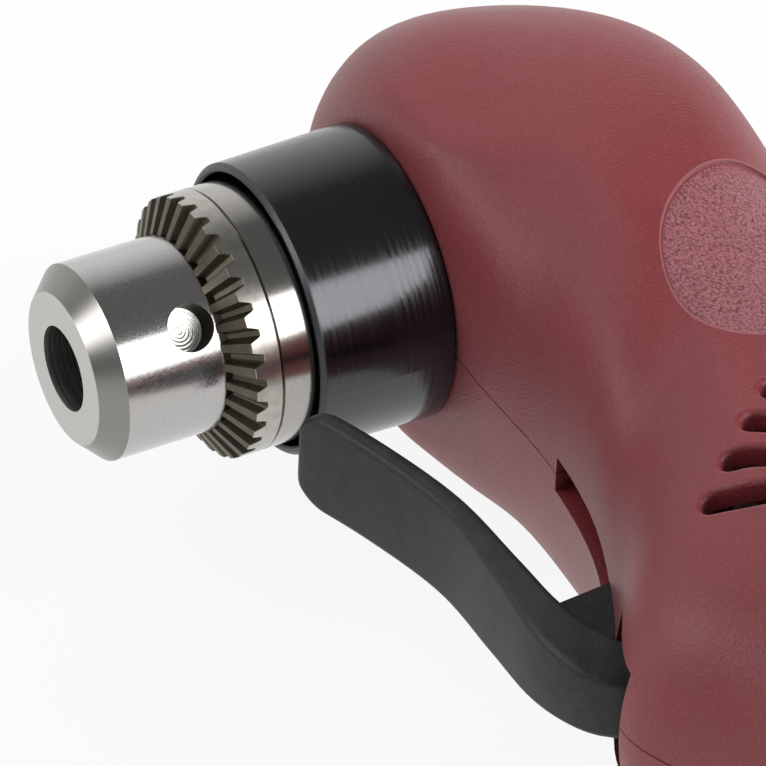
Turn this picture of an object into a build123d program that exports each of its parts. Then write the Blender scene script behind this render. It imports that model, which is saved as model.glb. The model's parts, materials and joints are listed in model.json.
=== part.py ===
from build123d import *
import os
from math import acos, atan2, cos, degrees, hypot, pi, radians, sin, tan

# A right angle drill with a keyed chuck, lying on its right side, in millimetres.
# The origin is the centre of the chuck's nose face. +X runs out of the chuck along its axis,
# +Y along the handle away from the head, and +Z out of the left side, which faces up.

# Chuck, with depths counted back from its nose face
BORE_D = 11.8
BORE_DEPTH = 26.0
BORE_RELIEF = 0.6
NOSE_D = 27.0
NOSE_CHAMFER = 3.0
NOSE_LENGTH = 16.9
CHUCK_LENGTH = 44.5
GROOVE_FRONT = 23.8
NUT_WIDTH = 7.0
KEY_HOLE_D = 6.4
KEY_HOLE_DEPTH = 4.5
KEY_HOLE_PLACE = 13.6
KEY_HOLE_ANGLE = 44.5
JAW_D = 6.0
JAW_LENGTH = 20.0
JAW_TILT = 15.0
JAW_CLOSED_R = 0.4
JAW_PROTRUSION = 4.0
NOSE_RING = 6.0
SCREW_HEAD_D = 8.4
SCREW_HEAD_H = 2.6
SCREW_D = 5.0
SCREW_GRIP = 8.0

# Toothed sleeve
SLEEVE_D = 36.0
SLEEVE_WALL = 2.0
SLEEVE_TEETH = 32
TOOTH_CONE_DROP = 2.5
TOOTH_DEPTH = 1.3
TOOTH_GAP_SHARE = 0.62
RING_WIDTH = 6.1
RING_LINE = 0.4

# Nose collar and spindle
COLLAR_LENGTH = 19.8
COLLAR_D = 41.0
COLLAR_TAPER = 0.4
COLLAR_LIP = 1.2
COLLAR_FLOOR = 2.5
CHUCK_GAP = 0.7
SPIGOT_WALL = 3.0
SPINDLE_D = 10.0
SPINDLE_ROOM = 2.0
SPINDLE_THREAD_D = 9.5
SPINDLE_THREAD = 11.0
SPINDLE_BEARING_D = 26.0
SPINDLE_BEARING_W = 8.0
SPINDLE_BUSH_D = 14.0
SPINDLE_BUSH_W = 6.0
SPINDLE_END_D = 8.0

# Gear train
BEVEL_MODULE = 1.0
BEVEL_GEAR_TEETH = 30
BEVEL_PINION_TEETH = 12
BEVEL_FACE = 5.0
BEVEL_WEB = 4.0
SPUR_MODULE = 0.75
SPUR_GEAR_TEETH = 24
SPUR_PINION_TEETH = 8
SPUR_WIDTH = 8.0
SPUR_PLACE = 60.0
PRESSURE_ANGLE = 20.0
BACKLASH = 0.16
SHAFT_D = 8.0
SHAFT_BEARING_D = 22.0
SHAFT_BEARING_W = 7.0
SHAFT_BEARING_PLACE = 24.0
SHAFT_BUSH_D = 14.0
SHAFT_BUSH_W = 6.0
SHAFT_BUSH_PLACE = 48.0

# Motor, with places along the handle
MOTOR_BACK = 23.5
MOTOR_BEARING_PLACE = 74.0
MOTOR_GAP = 2.0
REAR_GAP = 6.0
FAN_D = 39.0
FAN_H = 9.0
FAN_BLADES = 14
STATOR_LENGTH = 42.0
STATOR_D = 42.0
STATOR_BORE = 28.0
STATOR_BACK = 2.5
COIL_WIDTH = 15.0
COIL_GAP = 0.5
AIR_GAP = 0.6
ARMATURE_SLOTS = 12
WINDING_H = 5.0
COMMUTATOR_D = 18.0
COMMUTATOR_L = 11.0
BRUSH_SIZE = 6.0
BRUSH_LENGTH = 9.0
HOLDER_WALL = 1.2
HOLDER_LENGTH = 10.0
REAR_BEARING_D = 19.0
REAR_BEARING_W = 6.0
REAR_SHAFT_D = 6.0

# Moulded housing: each section runs from a point on the front line to one on the back line,
# given as distances ahead of the collar's back face and along the handle, with a half width,
# a fullness, where 2 is an ellipse and more is squarer, and a lean, which is the share by which
# the section widens towards its back
WALL = 3.0
PARTING_GAP = 0.2
HEAD_R = 21.2
SECTIONS = [
    ((0.0, HEAD_R), (0.0, -HEAD_R), HEAD_R, 2.0, 0.0),
    ((0.0, 25.5), (-1.9, -26.2), 25.3, 1.82, 0.0),
    ((-0.2, 31.0), (-10.2, -30.9), 27.3, 2.21, 0.0),
    ((-0.6, 39.0), (-28.9, -31.0), 29.2, 2.24, -0.037),
    ((-0.4, 47.5), (-45.5, -20.6), 30.2, 2.35, -0.082),
    ((1.0, 57.5), (-51.2, 1.8), 29.7, 2.45, -0.004),
    ((4.4, 68.0), (-51.0, 32.0), 26.8, 2.01, -0.021),
    ((9.9, 80.0), (-50.5, 60.0), 27.1, 2.37, 0.005),
    ((15.4, 90.5), (-49.5, 83.0), 27.4, 2.3, 0.0),
    ((14.3, 98.3), (-49.5, 100.0), 27.4, 2.3, 0.0),
    ((9.5, 108.0), (-49.5, 113.0), 27.2, 2.3, 0.0),
    ((5.5, 120.0), (-49.5, 126.0), 27.0, 2.3, 0.0),
    ((3.0, 135.0), (-49.5, 140.0), 26.8, 2.3, 0.0),
    ((1.5, 155.0), (-49.0, 157.0), 26.5, 2.3, 0.0),
    ((0.5, 175.0), (-48.0, 175.0), 26.0, 2.3, 0.0),
    ((-2.0, 195.0), (-45.0, 195.0), 24.5, 2.3, 0.0),
    ((-4.5, 205.0), (-42.5, 205.0), 22.0, 2.3, 0.0),
    ((-8.0, 210.0), (-39.0, 210.0), 18.5, 2.3, 0.0),
    ((-11.5, 211.5), (-35.5, 211.5), 15.0, 2.3, 0.0),
]
SECTION_POINTS = 8

# Vents, thumb recess and screws of the housing
VENT_COUNT = 5
VENT_FIRST = (-20.6, 64.9)
VENT_STEP = (5.08, 4.24)
VENT_SLANT = 37.0
VENT_HEIGHT = 3.4
VENT_LENGTH = 17.0
VENT_ROUND = 0.8
VENT_FLOOR = 15.0
RECESS_CENTRE = (-31.5, 44.5)
RECESS_HALF = (18.7, 13.9)
RECESS_TURN = 44.0
RECESS_DEPTH = 0.5
BOSS_D = 9.2
SCREW_SHANK_D = 3.0
SCREW_CAP_D = 6.4
SCREW_CAP_H = 2.4
SCREW_REACH = 12.0
SCREW_PLACES = [
    (-18.0, -22.0),
    (-42.0, -15.0),
    (-10.0, 33.0),
    (-42.0, 75.5),
    (4.0, 103.0),
    (-6.5, 158.0),
    (-41.0, 158.0),
    (-9.0, 190.0),
    (-38.0, 190.0),
]
RIB = 3.0

# Trigger lever, its pin and the switch
LEVER_WIDTH = 16.0
LEVER_FRONT = [
    (27.8, 28.5), (23.3, 40.0), (19.5, 53.0), (18.3, 66.0), (17.4, 76.0), (15.3, 82.0), (13.2, 87.0),
]
LEVER_BACK = [(25.2, 28.2), (20.9, 38.8), (17.1, 52.2), (15.9, 65.8), (14.8, 75.0), (11.8, 82.0)]
LEVER_CORNER = 3.5
LEVER_EDGE = 0.8
PIVOT = (8.5, 92.0)
PIVOT_BOSS_D = 9.0
PIN_D = 4.0
PIN_LENGTH = 26.0
WEB_THICK = 4.8
WEB_NECK = (5.5, 69.8)
WEB_TIP = (-3.0, 68.5)
WEB_TIP_HEIGHT = 5.5
SLOT_WIDTH = 5.6
SLOT_TOP = 46.2
OPENING_TOP = 81.0
OPENING_LENGTH = 10.6
SWITCH_FRONT = -8.0
SWITCH_DEPTH = 9.0
SWITCH_TOP = 49.0
SWITCH_LENGTH = 24.0
SWITCH_WIDTH = 16.0
PLUNGER_D = 4.0
PLUNGER_IN = 4.0

# Cord inlet
GLAND_BORE = 8.4
GLAND_D = 15.0
GLAND_FLANGE_D = 19.0
GLAND_PROUD = 2.0

# Fits and clearances
RUNNING = 0.05
SEAT = 0.02
LOOSE = 0.3
JAW_BACK_OFF = 0.2

# Sizes worked out from the ones above
nose_r = NOSE_D / 2
sleeve_r = SLEEVE_D / 2
bore_r = BORE_D / 2
tilt = radians(JAW_TILT)
jaw_half = JAW_D / 2 / cos(tilt)
jaw_axis_r = bore_r - jaw_half - NOSE_RING * tan(tilt)
jaw_open_r = bore_r + JAW_BACK_OFF
jaw_travel = (jaw_open_r - JAW_CLOSED_R) / sin(tilt)
jaw_tip = jaw_travel * cos(tilt) - JAW_PROTRUSION
jaw_back = jaw_tip + JAW_LENGTH * cos(tilt)
cavity_r = sleeve_r - SLEEVE_WALL
flange_front = jaw_back + 1.5
groove_back = GROOVE_FRONT + NUT_WIDTH + 2 * LOOSE
spindle_nose = CHUCK_LENGTH - SPINDLE_THREAD
collar_back = CHUCK_LENGTH + CHUCK_GAP + COLLAR_FLOOR
collar_front = collar_back - COLLAR_LENGTH
bearing_front = collar_back + WALL
bearing_back = bearing_front + SPINDLE_BEARING_W
spur_centres = SPUR_MODULE * (SPUR_GEAR_TEETH + SPUR_PINION_TEETH) / 2
shaft_back = MOTOR_BACK + spur_centres
gear_pitch_r = BEVEL_MODULE * BEVEL_GEAR_TEETH / 2
pinion_pitch_r = BEVEL_MODULE * BEVEL_PINION_TEETH / 2
cone_distance = hypot(gear_pitch_r, pinion_pitch_r)
handle_end = SECTIONS[-1][0][1]
fan_place = MOTOR_BEARING_PLACE + SHAFT_BEARING_W + MOTOR_GAP
stator_place = fan_place + FAN_H + MOTOR_GAP + WINDING_H
commutator_place = stator_place + STATOR_LENGTH + WINDING_H + MOTOR_GAP
rear_bearing_place = commutator_place + COMMUTATOR_L + REAR_GAP


def ahead(distance):
    """X of a point that lies this far ahead of the collar's back face."""
    return distance - collar_back


chuck_axis = Plane(origin=(0, 0, 0), x_dir=(0, 1, 0), z_dir=(-1, 0, 0))
shaft_axis = Plane(origin=(ahead(-shaft_back), 0, 0), x_dir=(1, 0, 0), z_dir=(0, 1, 0))
motor_axis = Plane(origin=(ahead(-MOTOR_BACK), 0, 0), x_dir=(1, 0, 0), z_dir=(0, 1, 0))
gear_apex = Plane(origin=(ahead(-shaft_back), 0, 0), x_dir=(0, 1, 0), z_dir=(1, 0, 0))


def turned(frame, outline):
    """A turned piece: the outline's points are distances along the frame's axis and radii."""
    points = [(radius, 0, along) for along, radius in outline]
    return frame.location * revolve(make_face(Polyline(*points, close=True)), Axis.Z)


def ring(frame, start, length, outer_d, inner_d=0.0):
    """A plain ring or disc on the frame's axis."""
    end = start + length
    outline = [(start, inner_d / 2), (start, outer_d / 2), (end, outer_d / 2), (end, inner_d / 2)]
    return turned(frame, outline)


def around(frame, shape, count, first=0.0):
    """Copies of a shape made about the local Z axis, evenly spaced round the frame's axis."""
    return [frame.location * Rot(0, 0, first + 360 * i / count) * shape for i in range(count)]


def block(x_range, y_range, z_range):
    """A box between two places along each axis."""
    spans = (x_range, y_range, z_range)
    middle = [(low + high) / 2 for low, high in spans]
    return Pos(*middle) * Box(*[high - low for low, high in spans])


def prism(points, half_width):
    """A flat outline in the plane of symmetry, thickened both ways."""
    return Pos(0, 0, -half_width) * extrude(make_face(Polyline(*points, close=True)), 2 * half_width)


def post(place, diameter, z_range):
    """A round post or hole across the tool at a place given from the collar's back face."""
    low, high = z_range
    return Pos(ahead(place[0]), place[1], (low + high) / 2) * Cylinder(diameter / 2, high - low)


def involute(angle):
    return tan(angle) - angle


def tooth_half_angle(radius, pitch_r, teeth):
    """Half the angle that an involute tooth spans at a radius, thinned for backlash."""
    pressure = radians(PRESSURE_ANGLE)
    rolled = acos(min(1.0, pitch_r * cos(pressure) / radius))
    half_pitch = pi / teeth / 2 - BACKLASH / 2 / pitch_r
    return half_pitch + involute(pressure) - involute(rolled)


def spur_gear(teeth, width, first=0.0):
    """A spur gear about local Z from z = 0, with a tooth pointing at the first angle."""
    pitch_r = SPUR_MODULE * teeth / 2
    levels = [pitch_r - 1.2 * SPUR_MODULE, pitch_r, pitch_r + 0.9 * SPUR_MODULE]
    points = []
    for tooth in range(teeth):
        middle = radians(first + 360 * tooth / teeth)
        flank = [(r, tooth_half_angle(r, pitch_r, teeth)) for r in levels]
        polar = [(r, middle - half) for r, half in flank]
        polar += [(r, middle + half) for r, half in reversed(flank)]
        points += [(r * cos(a), r * sin(a)) for r, a in polar]
    return extrude(make_face(Polyline(*points, close=True)), width)


def apex_wedge(distance, half_angle, outline, near, far):
    """A wedge that narrows to an apex at the origin, such as the gap between bevel teeth.

    The outline's points are heights off the cone and half widths, at the cone distance.
    """
    right = [(height, half) for height, half in outline]
    left = [(height, -half) for height, half in reversed(outline)]
    faces = []
    for share in (near, far):
        points = []
        for height, half in right + left:
            radius = distance * sin(half_angle) + height * cos(half_angle)
            along = distance * cos(half_angle) - height * sin(half_angle)
            points.append((radius * share, half * share, along * share))
        faces.append(make_face(Polyline(*points, close=True)))
    return loft(faces, ruled=True)


def bevel_gap(teeth, half_angle):
    """The gap between two bevel teeth, drawn on the virtual spur gear of the back cone."""
    virtual = teeth / cos(half_angle)
    pitch_r = BEVEL_MODULE * virtual / 2
    outline = []
    for height in (-1.25 * BEVEL_MODULE, 0.0, 1.1 * BEVEL_MODULE):
        radius = pitch_r + height
        half_gap = pi / virtual - tooth_half_angle(radius, pitch_r, virtual)
        outline.append((height, radius * half_gap))
    near = 1 - 1.3 * BEVEL_FACE / cone_distance
    return apex_wedge(cone_distance, half_angle, outline, near, 1.12)


def on_cone(half_angle, height, share=1.0):
    """Distance along the axis and radius of a point at a height off the pitch cone."""
    along = cone_distance * cos(half_angle) - height * sin(half_angle)
    radius = cone_distance * sin(half_angle) + height * cos(half_angle)
    return along * share, radius * share


gear_angle = atan2(gear_pitch_r, pinion_pitch_r)
pinion_angle = atan2(pinion_pitch_r, gear_pitch_r)
small_end = 1 - BEVEL_FACE / cone_distance
gear_back = pinion_pitch_r + BEVEL_WEB
spindle_shoulder = collar_back + shaft_back - gear_back


def jaw_axis(angle):
    """Frame of a jaw's slanted bore: its origin is level with the nose face."""
    turn = radians(angle)
    out = Vector(0, cos(turn), sin(turn))
    across = Vector(0, -sin(turn), cos(turn))
    back = Vector(-cos(tilt), 0, 0) + out * sin(tilt)
    return Plane(origin=out * jaw_axis_r, x_dir=across, z_dir=back)


def jaw_reach(depth):
    """Radius of the outermost point of the jaw bores at a depth."""
    return jaw_axis_r + depth * tan(tilt) + jaw_half


def key_angles():
    return [KEY_HOLE_ANGLE + 120 * i for i in range(3)]


def jaw_angles():
    return [angle + 60 for angle in key_angles()]


def make_chuck_body():
    groove_r = jaw_reach(GROOVE_FRONT)
    flange_r = cavity_r - RUNNING
    body = turned(chuck_axis, [
        (0, 0), (0, nose_r - NOSE_CHAMFER), (NOSE_CHAMFER, nose_r), (GROOVE_FRONT, nose_r),
        (GROOVE_FRONT, groove_r), (groove_back, groove_r), (groove_back, nose_r),
        (flange_front, nose_r), (flange_front, flange_r), (CHUCK_LENGTH, flange_r),
        (CHUCK_LENGTH, 0),
    ])
    body -= ring(chuck_axis, 0, NOSE_RING, BORE_D)
    body -= ring(chuck_axis, NOSE_RING, BORE_DEPTH - NOSE_RING, BORE_D + 2 * BORE_RELIEF)
    body -= ring(chuck_axis, 0, CHUCK_LENGTH, SCREW_D + 2 * RUNNING)
    body -= ring(chuck_axis, spindle_nose, CHUCK_LENGTH, SPINDLE_THREAD_D + 2 * RUNNING)
    for angle in jaw_angles():
        body -= ring(jaw_axis(angle), 0, (jaw_back + LOOSE) / cos(tilt), JAW_D + 2 * RUNNING)
    floor = nose_r - KEY_HOLE_DEPTH
    point = floor - KEY_HOLE_D / 2 * tan(radians(31))
    for angle in key_angles():
        turn = radians(angle)
        frame = Plane((-KEY_HOLE_PLACE, 0, 0), x_dir=(1, 0, 0), z_dir=(0, cos(turn), sin(turn)))
        body -= turned(frame, [
            (point, 0), (floor, KEY_HOLE_D / 2), (sleeve_r, KEY_HOLE_D / 2), (sleeve_r, 0),
        ])
    return body


def make_jaw(angle):
    start = jaw_tip / cos(tilt) - JAW_D
    jaw = ring(jaw_axis(angle), start, JAW_LENGTH + JAW_D, JAW_D)
    jaw -= block((-jaw_tip, 1), (-sleeve_r, sleeve_r), (-sleeve_r, sleeve_r))
    far = SLEEVE_D
    sector = [
        (jaw_open_r, 0), (jaw_open_r + far * cos(pi / 3), far * sin(pi / 3)), (-far, far * 2),
        (-far, -far * 2), (jaw_open_r + far * cos(pi / 3), -far * sin(pi / 3)),
    ]
    face = make_face(Polyline(*[(y, z, 0) for y, z in sector], close=True))
    grip = chuck_axis.location * Rot(0, 0, -angle) * extrude(face, CHUCK_LENGTH)
    return jaw - grip


def make_chuck_sleeve():
    inner = nose_r + RUNNING
    cone_foot = NOSE_LENGTH + TOOTH_CONE_DROP
    line = NOSE_LENGTH + RING_WIDTH
    back = CHUCK_LENGTH - 1.5
    sleeve = turned(chuck_axis, [
        (NOSE_LENGTH, inner), (cone_foot, sleeve_r), (line, sleeve_r),
        (line + RING_LINE / 2, sleeve_r - RING_LINE), (line + RING_LINE, sleeve_r),
        (back - RING_LINE, sleeve_r), (back, sleeve_r - RING_LINE), (back, cavity_r),
        (GROOVE_FRONT, cavity_r), (GROOVE_FRONT, inner),
    ])
    half_angle = atan2(sleeve_r - inner, TOOTH_CONE_DROP)
    distance = sleeve_r / sin(half_angle)
    apex = Plane((-cone_foot + distance * cos(half_angle), 0, 0), x_dir=(0, 1, 0), z_dir=(-1, 0, 0))
    half_gap = pi * sleeve_r / SLEEVE_TEETH * TOOTH_GAP_SHARE
    gap = apex_wedge(distance, half_angle, [
        (-TOOTH_DEPTH, half_gap * 0.35), (-TOOTH_DEPTH * 0.8, half_gap * 0.55),
        (0, half_gap), (TOOTH_DEPTH, half_gap * 1.5),
    ], 0.6, 1.2)
    return sleeve - around(apex, gap, SLEEVE_TEETH)


def make_chuck_nut():
    front = GROOVE_FRONT + LOOSE
    back = front + NUT_WIDTH
    outer = cavity_r - SEAT
    return turned(chuck_axis, [
        (front, jaw_reach(front) + LOOSE), (front, outer), (back, outer),
        (back, jaw_reach(back) + LOOSE),
    ])


def make_chuck_screw():
    head = BORE_DEPTH - SCREW_HEAD_H
    end = spindle_nose + SCREW_GRIP
    screw = ring(chuck_axis, head, SCREW_HEAD_H, SCREW_HEAD_D)
    screw += ring(chuck_axis, BORE_DEPTH, end - BORE_DEPTH, SCREW_D)
    half = SCREW_HEAD_D / 2
    slot = SCREW_HEAD_H / 4
    return screw - block((-head - 2 * slot, -head + slot), (-half, half), (-slot, slot))


def make_spindle():
    r = SPINDLE_D / 2
    gear_end = spindle_shoulder + BEVEL_WEB
    end = collar_back + shaft_back + pinion_pitch_r + SPINDLE_BUSH_W
    spindle = turned(chuck_axis, [
        (spindle_nose, 0), (spindle_nose, SPINDLE_THREAD_D / 2), (CHUCK_LENGTH, SPINDLE_THREAD_D / 2),
        (CHUCK_LENGTH, r), (bearing_back, r), (bearing_back, r + 1.5), (spindle_shoulder, r + 1.5),
        (spindle_shoulder, r), (gear_end, r), (gear_end, SPINDLE_END_D / 2), (end, SPINDLE_END_D / 2),
        (end, 0),
    ])
    return spindle - ring(chuck_axis, spindle_nose, SCREW_GRIP + LOOSE, SCREW_D + 2 * SEAT)


def make_bevel_gear():
    bore = SPINDLE_D / 2 + SEAT
    tip = on_cone(gear_angle, BEVEL_MODULE)
    tip_in = on_cone(gear_angle, BEVEL_MODULE, small_end)
    root_in = on_cone(gear_angle, -1.3 * BEVEL_MODULE, small_end)
    gear = turned(gear_apex, [
        tip_in, tip, (gear_back, tip[1] - 1.5), (gear_back, bore), (pinion_pitch_r, bore),
        (pinion_pitch_r, root_in[1]), root_in,
    ])
    half_pitch = 180 / BEVEL_GEAR_TEETH
    return gear - around(gear_apex, bevel_gap(BEVEL_GEAR_TEETH, gear_angle), BEVEL_GEAR_TEETH, half_pitch)


def make_intermediate_shaft():
    r = SHAFT_D / 2
    tip = on_cone(pinion_angle, BEVEL_MODULE)
    tip_in = on_cone(pinion_angle, BEVEL_MODULE, small_end)
    heel = gear_pitch_r + 2 * BEVEL_MODULE
    end = SPUR_PLACE + SPUR_WIDTH
    shaft = turned(shaft_axis, [
        (tip_in[0], 0), tip_in, tip, (heel, tip[1] - BEVEL_MODULE),
        (heel, r + 1), (SHAFT_BEARING_PLACE, r + 1), (SHAFT_BEARING_PLACE, r), (end, r), (end, 0),
    ])
    return shaft - around(shaft_axis, bevel_gap(BEVEL_PINION_TEETH, pinion_angle), BEVEL_PINION_TEETH)


def make_reduction_gear():
    gear = shaft_axis.location * Pos(0, 0, SPUR_PLACE) * spur_gear(SPUR_GEAR_TEETH, SPUR_WIDTH)
    return gear - ring(shaft_axis, SPUR_PLACE, SPUR_WIDTH, SHAFT_D + 2 * SEAT)


def make_armature_shaft():
    r = SHAFT_D / 2
    neck = SPUR_PLACE + SPUR_WIDTH + 1
    rear = rear_bearing_place
    end = rear + REAR_BEARING_W
    shaft = turned(motor_axis, [
        (neck, 0), (neck, r), (rear, r), (rear, REAR_SHAFT_D / 2), (end, REAR_SHAFT_D / 2), (end, 0),
    ])
    pinion = spur_gear(SPUR_PINION_TEETH, SPUR_WIDTH + 2, 180 / SPUR_PINION_TEETH)
    return shaft + motor_axis.location * Pos(0, 0, SPUR_PLACE - 1) * pinion


def make_armature_core():
    outer = STATOR_BORE - 2 * AIR_GAP
    core = ring(motor_axis, stator_place, STATOR_LENGTH, outer, SHAFT_D + 2 * SEAT)
    slot = Pos(outer / 2, 0, stator_place + STATOR_LENGTH / 2) * Box(outer / 3, 1.8, STATOR_LENGTH)
    return core - around(motor_axis, slot, ARMATURE_SLOTS)


def make_armature_winding():
    outer = STATOR_BORE - 4 * AIR_GAP
    start = stator_place - WINDING_H
    end = stator_place + STATOR_LENGTH
    ends = []
    for place in (start, end):
        ends.append(ring(motor_axis, place, WINDING_H, outer, SHAFT_D + 2 * SEAT))
    return ends


def make_commutator():
    copper = ring(motor_axis, commutator_place, COMMUTATOR_L, COMMUTATOR_D, SHAFT_D + 2 * SEAT)
    groove = Pos(COMMUTATOR_D / 2, 0, commutator_place + COMMUTATOR_L / 2) * Box(2, 0.6, COMMUTATOR_L)
    return copper - around(motor_axis, groove, ARMATURE_SLOTS)


def make_cooling_fan():
    plate = 1.6
    hub_d = SHAFT_D + 7
    fan = ring(motor_axis, fan_place, plate, FAN_D)
    fan += ring(motor_axis, fan_place, FAN_H, hub_d)
    span = (FAN_D - hub_d) / 2
    blade = Pos(hub_d / 2 + span * 0.6, 0, fan_place + FAN_H / 2) * Box(span * 0.8, 1.2, FAN_H)
    fan = fan.fuse(*around(motor_axis, blade, FAN_BLADES))
    return fan - ring(motor_axis, fan_place, FAN_H, SHAFT_D + 2 * SEAT)


def coil_window():
    """Space beside the stator's poles that its coils fill."""
    depth = (STATOR_D - STATOR_BORE) / 2 - STATOR_BACK
    middle = STATOR_BORE / 2 + depth / 2 - 1
    return depth, middle


def make_field_stator():
    stator = ring(motor_axis, stator_place, STATOR_LENGTH, STATOR_D, STATOR_BORE)
    depth, middle = coil_window()
    window = Box(depth + 2, COIL_WIDTH + 2 * COIL_GAP, STATOR_LENGTH)
    window = Pos(middle, 0, stator_place + STATOR_LENGTH / 2) * window
    return stator - around(motor_axis, window, 2)


def make_field_coils():
    depth, middle = coil_window()
    length = STATOR_LENGTH + 2 * WINDING_H
    coil = Pos(middle + 1, 0, stator_place + STATOR_LENGTH / 2) * Box(depth - COIL_GAP, COIL_WIDTH, length)
    return around(motor_axis, coil, 2)


brush_middle = commutator_place + COMMUTATOR_L / 2
holder_start = COMMUTATOR_D / 2 + 1.5
holder_size = BRUSH_SIZE + 2 * HOLDER_WALL


def across_motor(shape):
    """A piece and its twin above and below the commutator, drawn about local Z."""
    frame = Plane((ahead(-MOTOR_BACK), brush_middle, 0))
    return [frame.location * Rot(side, 0, 0) * shape for side in (0, 180)]


def make_brush_holders():
    middle = holder_start + HOLDER_LENGTH / 2
    tube = Box(holder_size, holder_size, HOLDER_LENGTH)
    tube -= Box(BRUSH_SIZE + 2 * RUNNING, BRUSH_SIZE + 2 * RUNNING, HOLDER_LENGTH)
    return across_motor(Pos(0, 0, middle) * tube)


def make_carbon_brushes():
    start = COMMUTATOR_D / 2 + RUNNING
    return across_motor(Pos(0, 0, start + BRUSH_LENGTH / 2) * Box(BRUSH_SIZE, BRUSH_SIZE, BRUSH_LENGTH))


def make_nose_collar():
    back_r = COLLAR_D / 2
    front_r = back_r - COLLAR_TAPER
    inner = front_r - COLLAR_LIP
    floor = collar_back - COLLAR_FLOOR
    hole = SPINDLE_D / 2 + SPINDLE_ROOM
    seat = SPINDLE_BEARING_D / 2 + SEAT
    spigot = seat + SPIGOT_WALL
    flange = collar_back + WALL + SEAT
    edge = 0.5
    return turned(chuck_axis, [
        (collar_front, inner + edge / 2), (collar_front, front_r - edge), (collar_front + edge, front_r),
        (collar_back - edge, back_r), (collar_back, back_r - edge), (collar_back, spigot),
        (flange, spigot), (flange, spigot + 2), (bearing_back, spigot + 2), (bearing_back, seat),
        (bearing_front, seat), (bearing_front, hole), (floor, hole), (floor, inner),
        (collar_front + edge / 2, inner),
    ])


def bearing(frame, start, width, outer_d, inner_d):
    """A shielded ball bearing: a ring with a shallow step in both end faces."""
    outer = outer_d / 2
    inner = inner_d / 2 + SEAT
    third = (outer - inner) / 3
    step = 0.4
    end = start + width
    return turned(frame, [
        (start, inner), (start, inner + third), (start + step, inner + third),
        (start + step, outer - third), (start, outer - third), (start, outer), (end, outer),
        (end, outer - third), (end - step, outer - third), (end - step, inner + third),
        (end, inner + third), (end, inner),
    ])


def rail_inset(rail, depth, side):
    """A line of the housing moved inwards by a depth, square to itself."""
    moved = []
    for i, (a, y) in enumerate(rail):
        before = rail[max(i - 1, 0)]
        after = rail[min(i + 1, len(rail) - 1)]
        length = hypot(after[0] - before[0], after[1] - before[1])
        slope = ((after[0] - before[0]) / length, (after[1] - before[1]) / length)
        moved.append((a - side * depth * slope[1], y + side * depth * slope[0]))
    return moved


def section_wire(front, back, half_width, fullness, lean):
    """One closed section of the housing, drawn as two curves that meet at the widest points."""
    start = Vector(ahead(front[0]), front[1])
    half = (Vector(ahead(back[0]), back[1]) - start) * 0.5
    rise = Vector(0, 0, half_width * lean)
    curves = []
    for side in (1, -1):
        points = []
        for k in range(SECTION_POINTS + 1):
            share = pi * k / SECTION_POINTS
            along = side * sin(share) ** (2 / fullness)
            out = side * abs(cos(share)) ** (2 / fullness) * (1 if cos(share) > 0 else -1)
            width = half_width * out * (1 + lean * along)
            points.append(start + half * (1 + along) + Vector(0, 0, width))
        near = half + rise * side
        far = half - rise * side
        curves.append(Spline(*points, tangents=[near.normalized() * side, far.normalized() * -side]))
    return Wire(curves)


def body_loft(depth):
    """The housing's outer form, or the same form this deep inside it."""
    fronts = rail_inset([s[0] for s in SECTIONS], depth, 1)
    backs = rail_inset([s[1] for s in SECTIONS], depth, -1)
    widths = [s[2] - depth for s in SECTIONS]
    fronts[0] = (-depth, HEAD_R)
    backs[0] = (-depth, -HEAD_R)
    widths[0] = HEAD_R
    fronts[-1] = (fronts[-1][0], handle_end - depth)
    backs[-1] = (backs[-1][0], handle_end - depth)
    shapes = [s[3:] for s in SECTIONS]
    rows = zip(fronts, backs, widths, shapes)
    return Solid.make_loft([section_wire(front, back, width, *shape) for front, back, width, shape in rows])


def rib_slabs():
    """Cross walls inside the housing that carry the bearings, the stator and the switch."""
    inside = (ahead(-60), ahead(-10))
    tall = (-60, 60)
    slabs = [
        block((ahead(-60), ahead(-shaft_back - pinion_pitch_r)), (-60, 9), tall),
        block(inside, (SHAFT_BEARING_PLACE, SHAFT_BEARING_PLACE + SHAFT_BEARING_W), tall),
        block((ahead(-60), ahead(-22)), (SHAFT_BUSH_PLACE, SHAFT_BUSH_PLACE + SHAFT_BUSH_W), tall),
        block(inside, (MOTOR_BEARING_PLACE, MOTOR_BEARING_PLACE + SHAFT_BEARING_W), tall),
        block((ahead(-60), ahead(20)), (rear_bearing_place, rear_bearing_place + REAR_BEARING_W), tall),
        block((ahead(-20), ahead(-6)), (SWITCH_TOP + 4, SWITCH_TOP + 4 + RIB), tall),
    ]
    for place in (stator_place + 3, stator_place + STATOR_LENGTH - 3 - RIB):
        slabs.append(block((ahead(-60), ahead(0)), (place, place + RIB), tall))
    half = holder_size / 2 + HOLDER_WALL
    for side in (-1, 1):
        span = sorted((side * (holder_start + 1), side * 60))
        slabs.append(block(
            (ahead(-MOTOR_BACK) - half, ahead(-MOTOR_BACK) + half),
            (brush_middle - half, brush_middle + half), span,
        ))
    return slabs


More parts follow.
